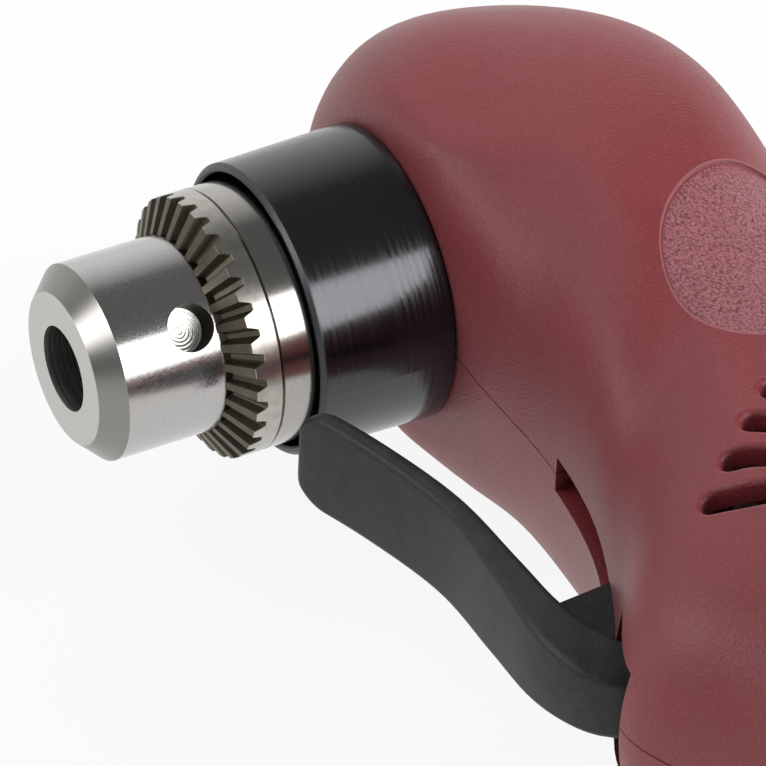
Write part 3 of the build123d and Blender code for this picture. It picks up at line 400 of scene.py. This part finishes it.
def toothed_sleeve():
    """Darker brown teeth, the ring's dull crest outside them, and behind the groove the polished sleeve.
    """
    material, add, place = start("Steel_hardened_ring_polished_sleeve")
    along, radius = round_axis(add, place)
    lines = turning_lines(add, along, radius, SLEEVE_LINE)
    grain = add("TexNoise", grain_of(place, SLEEVE_GRAIN))
    stain = add("TexNoise", grain_of(place, STAIN))
    ring = add("MapRange", {"Value": along, **span(RING_EDGE, MM)})
    crest = add("MapRange", {"Value": radius, **span(CREST_EDGE, MM)})
    dull = add("Mix", {SHARE: stain, COLOUR_A: "#9C9992", COLOUR_B: "#C4C1BA"}, data_type="RGBA")
    teeth = add("Mix", {SHARE: stain, COLOUR_A: "#4E493F", COLOUR_B: "#6C665B"}, data_type="RGBA")
    polished = add("Mix", {SHARE: grain, COLOUR_A: "#9A9793", COLOUR_B: "#B8B5B0"}, data_type="RGBA")
    toothed = add("Mix", {SHARE: crest, COLOUR_A: teeth, COLOUR_B: dull}, data_type="RGBA")
    tone = add("Mix", {SHARE: ring, COLOUR_A: polished, COLOUR_B: toothed}, data_type="RGBA")
    ring_rough = add("Mix", {SHARE: crest, NUMBER_A: 0.4, NUMBER_B: 0.26})
    rough = add("Mix", {SHARE: ring, NUMBER_A: 0.16, NUMBER_B: ring_rough})
    height = add("Mix", {SHARE: 0.6, NUMBER_A: lines, NUMBER_B: grain})
    bump = add("Bump", {"Height": height, "Strength": 0.07, "Distance": LINE_DEPTH * MM})
    shader = add("BsdfPrincipled", {
        "Base Color": tone, "Metallic": 1.0, "Roughness": rough, "Normal": bump})
    add("OutputMaterial", {"Surface": shader})
    return material


sleeve_steel = toothed_sleeve()
print(sleeve_steel.name, len(sleeve_steel.node_tree.nodes), "nodes")

# %% [markdown]
# The collar is steel with a black oxide skin under oil. The skin hides the metal, so it is made as
# a black body with a clear surface that reflects strongly, and the turning lines pull each
# reflection out into a streak. The narrow lip at its front is dull.

# %% Black collar
COLLAR_LINE = 0.55
COLLAR_GRAIN = 0.4
COLLAR_FRONT = -27.9
LIP_EDGE = (COLLAR_FRONT - 0.8, COLLAR_FRONT - 0.4)


def blackened_collar():
    """Black with turning lines in its relief and roughness, and a dull front lip."""
    material, add, place = start("Steel_black_oxide")
    along, radius = round_axis(add, place)
    lines = turning_lines(add, along, radius, COLLAR_LINE)
    grain = add("TexNoise", grain_of(place, COLLAR_GRAIN))
    height = add("Mix", {SHARE: 0.3, NUMBER_A: lines, NUMBER_B: grain})
    bump = add("Bump", {"Height": height, "Strength": 0.16, "Distance": LINE_DEPTH * MM})
    lip = add("MapRange", {"Value": along, **span(LIP_EDGE, MM)})
    turned = add("MapRange", {"Value": lines, **span((0.38, 0.62), to=(0.14, 0.22))})
    rough = add("Mix", {SHARE: lip, NUMBER_A: turned, NUMBER_B: 0.45})
    tone = add("Mix", {SHARE: grain, COLOUR_A: "#08090C", COLOUR_B: "#101216"}, data_type="RGBA")
    shader = add("BsdfPrincipled", {
        "Base Color": tone, "IOR": 1.72, "Specular Tint": "#F8FAFF",
        "Roughness": rough, "Normal": bump})
    add("OutputMaterial", {"Surface": shader})
    return material


collar_black = blackened_collar()
print(collar_black.name, len(collar_black.node_tree.nodes), "nodes")

# %% [markdown]
# The lever is charcoal nylon with a fine grain, which gives it a soft, broad sheen. The inner
# pieces get the finish that each has in such a tool: ground or polished steel that mirrors, bronze
# and copper with their own warm tone, varnish, black nylon, carbon and rubber that swallow light.
# One function makes them all, from two tones, a grain and what the shader needs to know.

# %% Mouldings and inner pieces
MOTTLE = 8.0
FINISH_DEPTH = 0.1
METAL = {"Metallic": 1.0}


def plain_finish(name, dark, light, grain_mm, surface, depth=0.1, mottle_mm=MOTTLE):
    """From dark to light by soft mottling with some of the fine grain in it, and the grain's relief."""
    material, add, place = start(name)
    grain = add("TexNoise", grain_of(place, grain_mm))
    soft = add("TexNoise", grain_of(place, mottle_mm))
    mottling = add("MapRange", {"Value": soft, **span((0.3, 0.7))})
    share = add("Mix", {SHARE: 0.35, NUMBER_A: mottling, NUMBER_B: grain})
    tone = add("Mix", {SHARE: share, COLOUR_A: dark, COLOUR_B: light}, data_type="RGBA")
    bump = add("Bump", {"Height": grain, "Strength": depth, "Distance": FINISH_DEPTH * MM})
    shader = add("BsdfPrincipled", {"Base Color": tone, "Normal": bump, **surface})
    add("OutputMaterial", {"Surface": shader})
    return material


lever_grey = plain_finish("Nylon_fine_grained_charcoal", "#141517", "#2A2B2D", 0.4,
                          {"Roughness": 0.5, "IOR": 1.4}, depth=0.5, mottle_mm=2.2)
INNER_FINISHES = {
    # slot: name, dark and light tone, grain in mm, what the shader is told
    "hard_steel": ("Steel_ground", "#6E6E70", "#8C8C8E", 0.3, {"Roughness": 0.35, **METAL}),
    "bearing_steel": ("Steel_bearing_polished", "#A8A8AA", "#C0C0C2", 0.3, {"Roughness": 0.18, **METAL}),
    "bronze": ("Bronze_sintered", "#8A6A3C", "#A5824E", 0.2, {"Roughness": 0.4, **METAL}),
    "core_steel": ("Steel_varnished_laminations", "#3C3C3E", "#55555A", 0.5, {"Roughness": 0.5, **METAL}),
    "copper": ("Copper_enamelled", "#8E4A24", "#B86A38", 0.5, {"Roughness": 0.35, **METAL}),
    "fan_plastic": ("Nylon_moulded_black", "#141414", "#1E1E1E", 0.4, {"Roughness": 0.5}),
    "carbon": ("Carbon_pressed", "#1A1A1A", "#2A2A2A", 0.2, {"Roughness": 0.6}),
    "gland_rubber": ("Rubber_moulded", "#101010", "#181818", 0.4, {"Roughness": 0.7}),
}
finishes = {slot: plain_finish(*row) for slot, row in INNER_FINISHES.items()}
print("inner finishes", sorted(finish.name for finish in finishes.values()))

# %% [markdown]
# The record of the part gives every CAD node a slot, so a finish is chosen by slot and not by
# node. The brush holders share the bronze and the switch shares the black nylon.

# %% Give every CAD node its finish
finishes.update({
    "housing_plastic": abs_red, "collar_black": collar_black, "chuck_steel": nose_steel,
    "sleeve_steel": sleeve_steel, "lever_plastic": lever_grey,
    "holder_brass": finishes["bronze"], "switch_plastic": finishes["fan_plastic"],
})
slots = {item["node"]: item["material_slot"] for item in frame["record"]["subparts"]}
for name, node in frame["nodes"].items():
    node.data.materials.clear()
    node.data.materials.append(finishes[slots[name]])
print("finished nodes", len(frame["nodes"]))

# %% [markdown]
# The lever's solid is a plain paddle of even width. The moulding is softer: its corners are round,
# and towards the pivot it grows thicker while its outer face narrows, so its sides lean. It could be
# the solid with bevels, but those can't lean its sides. So it is swept as rings along the paddle,
# and takes its web and its pivot boss with it.

# %% Rings along a path


def smooth_path(rows, shares):
    """A curve through the rows: each stretch is a cubic that leaves a row along its neighbours' chord."""
    rows = np.array(rows, float)
    rows = np.vstack((2 * rows[0] - rows[1], rows, 2 * rows[-1] - rows[-2]))
    place = np.clip(shares, 0, 1 - 1e-9) * (len(rows) - 3)
    first = place.astype(int)
    t = (place - first)[:, None]
    a, b, c, d = (rows[first + k] for k in range(4))
    square = a - 2.5 * b + 2 * c - d / 2
    cube = 1.5 * (b - c) + (d - a) / 2
    return b + (c - a) * t / 2 + square * t ** 2 + cube * t ** 3


def round_boxes(half, thick, radius, steps=5):
    """Rectangles with a quarter circle at each corner, as shares: -1..1 across and 0..1 through."""
    half, thick, radius = (value[:, None, None] for value in (half, thick, radius))
    turn = np.pi / 2 * (np.arange(4)[:, None] + np.linspace(0, 1, steps + 1))
    side = np.array((1, -1, -1, 1))[:, None]
    level = np.array((1, 1, -1, -1))[:, None]
    across = side * (half - radius) + radius * np.cos(turn)
    through = level * (thick / 2 - radius) + radius * np.sin(turn)
    return np.stack((across / half, through / thick + 0.5), axis=-1).reshape(len(half), -1, 2)


def swept_rings(rings, closed=False):
    """Quads from each ring to the next; a closed sweep meets itself, another has a face at each end."""
    number = np.arange(rings.shape[0] * rings.shape[1]).reshape(rings.shape[:2])
    beside = np.roll(number, -1, axis=1)
    quads = np.stack((number, beside, np.roll(beside, -1, axis=0), np.roll(number, -1, axis=0)), axis=-1)
    points = rings.reshape(-1, 3)
    if closed:
        return points, quads.reshape(-1, 4).tolist()
    ends = [number[0, ::-1].tolist(), number[-1].tolist()]
    return points, quads[:-1].reshape(-1, 4).tolist() + ends


print("quads round a ring of four, swept once:", len(swept_rings(np.zeros((2, 4, 3)))[1]) - 2)

# %% Paddle of the lever
COLLAR_BACK = -47.7
LEVER_STATIONS = [
    # outer face ahead of the collar's back and along the handle, inner face the same, half widths
    (28.1, 27.8, 25.5, 27.4, 8.0, 8.0),
    (23.5, 40.0, 20.9, 38.8, 7.9, 8.0),
    (20.1, 53.0, 17.1, 52.2, 7.7, 8.0),
    (19.9, 66.0, 15.9, 65.8, 7.0, 8.0),
    (20.1, 76.0, 15.0, 75.0, 6.0, 7.8),
    (19.0, 82.5, 12.4, 82.0, 5.3, 7.2),
    (16.7, 87.2, 7.6, 88.0, 4.8, 6.6),
    (12.6, 90.4, 5.0, 91.2, 4.4, 6.2),
]
PATH_POINTS = 600
TIP_CORNER = 5.2
TIP_RINGS = 12
FIRST_TIP_ANGLE = 0.12
BODY_RINGS = 45
EDGE_ROUND = 1.25
MOST_ROUND = 0.46
LEAST_PINCH = 0.05


def lever_paddle():
    """Round boxes along the stations' middle line: the tip's corners and edge are quarter circles."""
    path = smooth_path(LEVER_STATIONS, np.linspace(0, 1, PATH_POINTS))
    middle = (path[:, 0:2] + path[:, 2:4]) / 2
    run = np.concatenate(([0], np.cumsum(np.linalg.norm(np.diff(middle, axis=0), axis=1))))
    tip = TIP_CORNER * (1 - np.cos(np.linspace(FIRST_TIP_ANGLE, np.pi / 2, TIP_RINGS)))
    places = np.concatenate((tip, np.linspace(TIP_CORNER, run[-1], BODY_RINGS)[1:]))
    rows = np.column_stack([np.interp(places, run, column) for column in path.T])
    outer, inner, outer_half, inner_half = rows[:, 0:2], rows[:, 2:4], rows[:, 4], rows[:, 5]
    short = np.maximum(TIP_CORNER - places, 0)
    cut = TIP_CORNER - np.sqrt(TIP_CORNER ** 2 - short ** 2)
    near_end = np.maximum(1 - places / EDGE_ROUND, 0)
    pinch = np.sqrt(np.maximum(1 - near_end ** 2, LEAST_PINCH))
    thick = np.linalg.norm(outer - inner, axis=1)
    boxes = round_boxes(inner_half - cut, thick, np.minimum(EDGE_ROUND, thick * MOST_ROUND))
    through = 0.5 + (boxes[..., 1] - 0.5) * pinch[:, None]
    spot = inner[:, None] + (outer - inner)[:, None] * through[..., None]
    half = inner_half[:, None] + (outer_half - inner_half)[:, None] * through - cut[:, None]
    return swept_rings(np.stack(
        (COLLAR_BACK + spot[..., 0], spot[..., 1], half * boxes[..., 0]), axis=-1))


paddle = lever_paddle()
print("paddle points", len(paddle[0]), "faces", len(paddle[1]))

# %% Web and pivot boss of the lever
WEB_OUTLINE = [
    (16.6, 70.7), (5.5, 69.8), (-3.0, 68.5), (-3.0, 74.0), (4.0, 92.0), (8.5, 92.0), (16.1, 75.5)]
WEB_HALF = 2.4
BOSS_PLACE = (8.5, 92.0)
BOSS_RADIUS = 4.5
BOSS_BORE = 2.1
BOSS_HALF = 8.0


def lever_web():
    """The web's outline as two rings, one on each side of the middle."""
    outline = np.array(WEB_OUTLINE) + (COLLAR_BACK, 0)
    sides = [np.column_stack((outline, np.full(len(outline), z))) for z in (WEB_HALF, -WEB_HALF)]
    return swept_rings(np.stack(sides))


def lever_boss(steps=40):
    """A tube about the pin: its section is a rectangle turned round the pin's axis."""
    turns = np.linspace(0, 2 * np.pi, steps, endpoint=False)
    radius = np.array((BOSS_RADIUS, BOSS_RADIUS, BOSS_BORE, BOSS_BORE))
    level = np.array((BOSS_HALF, -BOSS_HALF, -BOSS_HALF, BOSS_HALF))
    x = COLLAR_BACK + BOSS_PLACE[0] + np.outer(np.cos(turns), radius)
    y = BOSS_PLACE[1] + np.outer(np.sin(turns), radius)
    return swept_rings(np.stack((x, y, np.tile(level, (steps, 1))), axis=-1), closed=True)


web, boss = lever_web(), lever_boss()
print("web faces", len(web[1]), "boss faces", len(boss[1]))

# %% Moulded lever
CREASE = 35.0


def build_mesh(name, shells):
    """One mesh from several shells in millimetres, smooth but for edges sharper than the crease."""
    points, faces = [], []
    for shell, shell_faces in shells:
        shift = sum(len(part) for part in points)
        points.append(shell)
        faces += [[shift + corner for corner in face] for face in shell_faces]
    mesh = bpy.data.meshes.new(name)
    mesh.from_pydata((np.vstack(points) * MM).tolist(), [], faces)
    mesh.validate()
    work = bmesh.new()
    work.from_mesh(mesh)
    bmesh.ops.recalc_face_normals(work, faces=work.faces)
    work.to_mesh(mesh)
    work.free()
    mesh.shade_smooth()
    mesh.set_sharp_from_angle(angle=np.radians(CREASE))
    return mesh


lever_mesh = build_mesh("lever_moulding", [paddle, web, boss])
lever = bpy.data.objects.new("lever_moulding", lever_mesh)
scene.collection.objects.link(lever)
lever_mesh.materials.append(lever_grey)
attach(lever, "trigger")
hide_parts("trigger_lever")
print("lever faces", len(lever_mesh.polygons))

# %% [markdown]
# The key's pilot holes end in an almost flat floor, cut bright by the drill, so it catches the
# light in a dark hole. A bump in the material could draw its rings. Here they are real: the floor
# is a shallow dish with a small wave along its radius, turned round the hole's axis.

# %% Drilled floors of the pilot holes
FLOOR_RADIUS = 3.15
FLOOR_LEVEL = 9.15
DISH_DEPTH = 0.3
RING_PITCH = 0.5
RING_HEIGHT = 0.013


def drilled_floor(turn, rings=50, steps=48):
    """Height above the axis: a parabola that rises to the wall, plus a cosine of the radius."""
    radii = np.linspace(FLOOR_RADIUS / rings, FLOOR_RADIUS, rings)
    around = np.linspace(0, 2 * np.pi, steps, endpoint=False)
    wave = RING_HEIGHT * np.cos(2 * np.pi * radii / RING_PITCH)
    rise = DISH_DEPTH * (radii / FLOOR_RADIUS) ** 2 + wave
    level = FLOOR_LEVEL - DISH_DEPTH + rise
    along = PILOT_PLACE + np.outer(radii, np.cos(around))
    aside = np.outer(radii, np.sin(around))
    up = np.repeat(level[:, None], steps, axis=1)
    y = up * np.cos(turn) - aside * np.sin(turn)
    z = up * np.sin(turn) + aside * np.cos(turn)
    points, faces = swept_rings(np.stack((along, y, z), axis=2))
    return points, faces[:-1]


turns = [np.radians(PILOT_TURN + 360 / PILOTS * k) for k in range(PILOTS)]
floor_mesh = build_mesh("pilot_floors", [drilled_floor(turn) for turn in turns])
pilot_floors = bpy.data.objects.new("pilot_floors", floor_mesh)
scene.collection.objects.link(pilot_floors)
bright_steel = plain_finish("Steel_drilled_bright", "#C6C3BC", "#E2DFD8", 0.2,
                            {"Roughness": 0.24, **METAL}, depth=0.05)
floor_mesh.materials.append(bright_steel)
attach(pilot_floors, "spindle")
print("pilot floor faces", len(floor_mesh.polygons))

# %% [markdown]
# The tool lies on white paper. Paper that is only lit would render grey, and more light would burn
# out the tool. So part of it glows at a strength of 1, which is white: most of what the camera and
# mirrors see, and less of the light that it throws back on the tool.

# %% White paper under the tool
FLOOR_HALF = 4.0
PAPER_FIBRE = 3.0
GLOW_THROWN = 0.68
GLOW_SEEN = 0.9


def seen_directly(add):
    """1 for rays from the camera and for mirror or glass rays, 0 for light that falls on things."""
    path = add("LightPath").outputs
    seen = add("Math", {0: path["Is Camera Ray"], 1: path["Is Glossy Ray"]}, operation="MAXIMUM")
    return add("Math", {0: seen, 1: path["Is Transmission Ray"]}, operation="MAXIMUM")


def white_paper():
    """Matt paper with faint fibres, and a share of white glow that depends on who looks."""
    material, add, place = start("Paper_white_sweep")
    fibre = add("TexNoise", {"Vector": place, "Scale": per_mm(PAPER_FIBRE), "Detail": 2.0})
    tone = add("Mix", {SHARE: fibre, COLOUR_A: "#F2F2F2", COLOUR_B: "#F6F6F6"}, data_type="RGBA")
    paper = add("BsdfPrincipled", {"Base Color": tone, "Roughness": 0.9})
    glow = add("Emission", {"Color": "#FFFFFF", "Strength": 1.0})
    share = add("Mix", {SHARE: seen_directly(add), NUMBER_A: GLOW_THROWN, NUMBER_B: GLOW_SEEN})
    mixed = add("MixShader", {0: share, 1: paper, 2: glow})
    add("OutputMaterial", {"Surface": mixed})
    return material


floor_level = cad_box[0][2]
corners = np.array(((-1, -1), (1, -1), (1, 1), (-1, 1))) * FLOOR_HALF
sheet = bpy.data.meshes.new("floor")
sheet.from_pydata([(x, y, floor_level) for x, y in corners.tolist()], [], [(0, 1, 2, 3)])
sheet.materials.append(white_paper())
floor = bpy.data.objects.new("floor", sheet)
scene.collection.objects.link(floor)
print("floor at", round(floor_level, 4), "m")

# %% [markdown]
# Shiny steel shows what stands round it, so the surround differs for mirror rays: white paper
# rises behind the tool, and the ceiling is dim, so reflections fade from white to grey. All else
# gets an even, dim light, and the camera sees plain white.

# %% Surround
AMBIENT = 0.44
PAPER_RISE = (-0.45, -0.9)
CEILING_TO_PAPER = (0.16, 1.0)


def paper_surround():
    """One strength for each kind of ray: dim, or for mirrors a ramp along -Y, or white if seen."""
    world = bpy.data.worlds.new("studio")
    scene.world = world
    world.use_nodes = True
    world.node_tree.nodes.clear()
    add = partial(put, world.node_tree)
    way = add("SeparateXYZ", {"Vector": add("TexCoord").outputs["Generated"]}).outputs["Y"]
    paper = add("MapRange", {"Value": way, **span(PAPER_RISE, to=CEILING_TO_PAPER)})
    path = add("LightPath").outputs
    level = add("Mix", {SHARE: path["Is Glossy Ray"], NUMBER_A: AMBIENT, NUMBER_B: paper})
    clear = add("Math", {
        0: path["Is Camera Ray"], 1: path["Is Transmission Ray"]}, operation="MAXIMUM")
    level = add("Mix", {SHARE: clear, NUMBER_A: level, NUMBER_B: 1.0})
    sky = add("Background", {"Color": "#FFFFFF", "Strength": level})
    add("OutputWorld", {"Surface": sky})
    return world


print("world", paper_surround().name, "ambient", AMBIENT)

# %% [markdown]
# A large softbox stands to the right of the camera. Polished steel shows it as a bright band with
# clear edges, so its place was worked out from that band: the view direction mirrored at the nose
# of the chuck points at it. Two smaller ones give the other highlights. These three light mirrors
# only. Two fills light matt surfaces only, so highlights and shading can be matched one by one.

# %% Lamps
HEAD = (-45, 15, 0)
LAMPS = [
    # name, way from the head, reach, width and height in mm, watts, and which light it gives
    ("key_softbox", (-0.37, 0.79, 0.49), 800, (620, 480), 4.2, "mirror"),
    ("left_softbox", (0.87, -0.12, 0.47), 700, (300, 300), 1.9, "mirror"),
    ("top_softbox", (0.12, -0.47, 0.87), 700, (260, 260), 0.7, "mirror"),
    ("right_fill", (-0.80, 0.22, 0.56), 700, (300, 300), 3.6, "matt"),
    ("left_fill", (0.61, -0.35, 0.71), 700, (300, 300), 1.3, "matt"),
]


def soft_lamp(name, way, reach, size_mm, watts, light):
    """An area lamp that faces the drill's head from a reach away, for mirror or for matt light."""
    data = bpy.data.lights.new(name, "AREA")
    data.shape = "RECTANGLE"
    data.size, data.size_y = size_mm[0] * MM, size_mm[1] * MM
    data.energy = watts
    lamp = bpy.data.objects.new(name, data)
    scene.collection.objects.link(lamp)
    lamp.visible_diffuse = light == "matt"
    lamp.visible_glossy = light == "mirror"
    back = np.array(way) / np.linalg.norm(way)
    side = np.cross((0, 0, 1), back)
    side = side / np.linalg.norm(side)
    turn = Matrix((side, np.cross(back, side), back)).transposed().to_4x4()
    lamp.matrix_world = Matrix.Translation((HEAD + reach * np.array(way)) * MM) @ turn


for row in LAMPS:
    soft_lamp(*row)
scene.view_settings.view_transform = "Standard"
